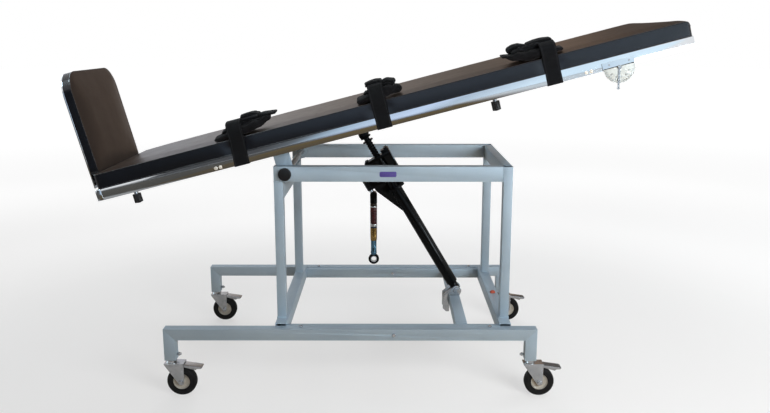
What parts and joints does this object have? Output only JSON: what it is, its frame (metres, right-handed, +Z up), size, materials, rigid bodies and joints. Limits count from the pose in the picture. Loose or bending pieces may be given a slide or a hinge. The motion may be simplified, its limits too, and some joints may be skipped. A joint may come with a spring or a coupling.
{
  "type": "physiotherapy tilt table",
  "caption": "Hospital tilt table with padded top, straps, tilt gauge and sliding foot board, tilted by a hand-cranked screw jack on a wheeled steel frame",
  "frame": {"origin": "on the floor, under the middle of the whole object's bounding box", "axes": "+X along the table towards its head end, +Y to the far side, away from the tilt gauge, +Z up"},
  "size_m": [2.0748, 0.7882, 1.2378],
  "materials": {
    "frame_paint": "satin",
    "zinc": "satin",
    "hub_grey": "satin",
    "tyre": "matte",
    "axle_steel": "satin",
    "black_plastic": "satin",
    "plate_blue": "gloss",
    "plug_red": "satin",
    "leatherette": "satin",
    "board": "matte",
    "chrome": "polished",
    "screw_caps": "satin",
    "webbing": "matte",
    "dial_white": "satin",
    "jack_black": "gloss",
    "handle_bands": "gloss"
  },
  "bodies": {
    "base": {"base_rails": "frame_paint", "castor_legs": "frame_paint", "cross_rails": "frame_paint", "tie_rails": "frame_paint", "jack_cross_rail": "frame_paint", "frame_legs": "frame_paint", "top_rail_near": "frame_paint", "top_rail_far": "frame_paint", "top_cross_head": "frame_paint", "top_cross_foot": "frame_paint", "frame_bolts": "zinc", "jack_saddle": "zinc", "tilt_axle": "axle_steel", "axle_caps": "black_plastic", "name_plate": "plate_blue", "castor_stems": "zinc", "hole_plug": "plug_red"},
    "table": {"mattress": "leatherette", "deck_board": "board", "side_rail_near": "chrome", "side_rail_far": "chrome", "table_cross_tubes": "frame_paint", "pivot_lugs": "frame_paint", "ram_bracket": "jack_black", "rail_screws": "screw_caps", "straps": "webbing", "strap_buckles": "black_plastic", "angle_dial": "dial_white"},
    "pointer": {"dial_pointer": "axle_steel"},
    "footboard": {"footboard_pad": "leatherette", "footboard_plate": "chrome", "footboard_bar": "chrome", "footboard_prongs": "chrome", "footboard_screws": "black_plastic"},
    "jack": {"jack_tube": "jack_black", "gear_case": "jack_black"},
    "ram": {"jack_ram": "jack_black"},
    "stub": {"crank_stub": "chrome"},
    "knuckle": {"crank_knuckle": "jack_black"},
    "handle": {"crank_handle": "handle_bands"},
    "knob_1": {"clamp_knob_1": "black_plastic"},
    "fork_1": {"castor_fork_1": "zinc"},
    "wheel_1": {"castor_hub_1": "hub_grey", "castor_tyre_1": "tyre"},
    "pedal_1": {"brake_pedal_1": "zinc"},
    "knob_2": {"clamp_knob_2": "black_plastic"},
    "fork_2": {"castor_fork_2": "zinc"},
    "wheel_2": {"castor_hub_2": "hub_grey", "castor_tyre_2": "tyre"},
    "pedal_2": {"brake_pedal_2": "zinc"},
    "knob_3": {"clamp_knob_3": "black_plastic"},
    "fork_3": {"castor_fork_3": "zinc"},
    "wheel_3": {"castor_hub_3": "hub_grey", "castor_tyre_3": "tyre"},
    "pedal_3": {"brake_pedal_3": "zinc"},
    "knob_4": {"clamp_knob_4": "black_plastic"},
    "fork_4": {"castor_fork_4": "zinc"},
    "wheel_4": {"castor_hub_4": "hub_grey", "castor_tyre_4": "tyre"},
    "pedal_4": {"brake_pedal_4": "zinc"}
  },
  "joints": [
    {"name": "table_tilt", "type": "hinge", "parent": "base", "child": "table", "pos_m": [-0.28069, 0, 0.743], "axis": [0, -1, 0], "range_deg": [-14.5, 72.5]},
    {"name": "jack_swing", "type": "hinge", "parent": "base", "child": "jack", "pos_m": [0.31831, 0, 0.256], "axis": [0, -1, 0], "range_deg": [-1.5, 7]},
    {"name": "jack_extend", "type": "slide", "parent": "jack", "child": "ram", "axis": [-0.5079, 0, 0.8614], "range_m": [-0.062, 0.303]},
    {"name": "crank_turn", "type": "hinge", "parent": "jack", "child": "stub", "pos_m": [-0.00344, 0, 0.63628], "axis": [-0.5079, 0, 0.8614], "range_deg": [-2161, 10801]},
    {"name": "handle_turn", "type": "hinge", "parent": "knuckle", "child": "handle", "pos_m": [0.00789, 0, 0.61707], "axis": [0, 0, 1], "range_deg": [-10801, 2161]},
    {"name": "handle_swing", "type": "hinge", "parent": "jack", "child": "knuckle", "pos_m": [0.00789, 0, 0.61707], "axis": [0, 1, 0], "range_deg": [-25, 60]},
    {"name": "pointer_swing", "type": "hinge", "parent": "table", "child": "pointer", "pos_m": [0.79798, -0.307, 1.09323], "axis": [0, -1, 0], "range_deg": [-72.5, 14.5]},
    {"name": "footboard_slide", "type": "slide", "parent": "table", "child": "footboard", "axis": [-0.9681, 0, -0.2504], "range_m": [0, 0.06]},
    {"name": "knob_turn_1", "type": "hinge", "parent": "table", "child": "knob_1", "pos_m": [-0.77598, -0.2925, 0.68515], "axis": [0.2504, 0, -0.9681], "range_deg": [0, 360]},
    {"name": "knob_turn_2", "type": "hinge", "parent": "table", "child": "knob_2", "pos_m": [-0.77598, 0.2925, 0.68515], "axis": [0.2504, 0, -0.9681], "range_deg": [0, 360]},
    {"name": "knob_turn_3", "type": "hinge", "parent": "table", "child": "knob_3", "pos_m": [0.40516, -0.2925, 0.99061], "axis": [0.2504, 0, -0.9681], "range_deg": [0, 360]},
    {"name": "knob_turn_4", "type": "hinge", "parent": "table", "child": "knob_4", "pos_m": [0.40516, 0.2925, 0.99061], "axis": [0.2504, 0, -0.9681], "range_deg": [0, 360]},
    {"name": "castor_swivel_1", "type": "hinge", "parent": "base", "child": "fork_1", "pos_m": [-0.66819, -0.3685, 0.1127], "axis": [0, 0, 1], "continuous": true},
    {"name": "wheel_spin_1", "type": "hinge", "parent": "fork_1", "child": "wheel_1", "pos_m": [-0.63519, -0.3685, 0.05], "axis": [0, 1, 0], "continuous": true},
    {"name": "pedal_press_1", "type": "hinge", "parent": "fork_1", "child": "pedal_1", "pos_m": [-0.63819, -0.3685, 0.1079], "axis": [0, 1, 0], "range_deg": [0, 7]},
    {"name": "castor_swivel_2", "type": "hinge", "parent": "base", "child": "fork_2", "pos_m": [0.53781, -0.3685, 0.1127], "axis": [0, 0, 1], "continuous": true},
    {"name": "wheel_spin_2", "type": "hinge", "parent": "fork_2", "child": "wheel_2", "pos_m": [0.57081, -0.3685, 0.05], "axis": [0, 1, 0], "continuous": true},
    {"name": "pedal_press_2", "type": "hinge", "parent": "fork_2", "child": "pedal_2", "pos_m": [0.56781, -0.3685, 0.1079], "axis": [0, 1, 0], "range_deg": [0, 7]},
    {"name": "castor_swivel_3", "type": "hinge", "parent": "base", "child": "fork_3", "pos_m": [-0.66819, 0.3685, 0.1127], "axis": [0, 0, 1], "continuous": true},
    {"name": "wheel_spin_3", "type": "hinge", "parent": "fork_3", "child": "wheel_3", "pos_m": [-0.63519, 0.3685, 0.05], "axis": [0, 1, 0], "continuous": true},
    {"name": "pedal_press_3", "type": "hinge", "parent": "fork_3", "child": "pedal_3", "pos_m": [-0.63819, 0.3685, 0.1079], "axis": [0, 1, 0], "range_deg": [0, 7]},
    {"name": "castor_swivel_4", "type": "hinge", "parent": "base", "child": "fork_4", "pos_m": [0.53781, 0.3685, 0.1127], "axis": [0, 0, 1], "continuous": true},
    {"name": "wheel_spin_4", "type": "hinge", "parent": "fork_4", "child": "wheel_4", "pos_m": [0.57081, 0.3685, 0.05], "axis": [0, 1, 0], "continuous": true},
    {"name": "pedal_press_4", "type": "hinge", "parent": "fork_4", "child": "pedal_4", "pos_m": [0.56781, 0.3685, 0.1079], "axis": [0, 1, 0], "range_deg": [0, 7]}
  ],
  "couplings": [
    {"joint": "jack_swing", "follows": "table_tilt", "ratio": 0.092},
    {"joint": "jack_extend", "follows": "table_tilt", "m_per_rad": 0.238},
    {"joint": "crank_turn", "follows": "table_tilt", "ratio": 148.97},
    {"joint": "handle_turn", "follows": "table_tilt", "ratio": -148.97},
    {"joint": "pointer_swing", "follows": "table_tilt", "ratio": -1}
  ]
}
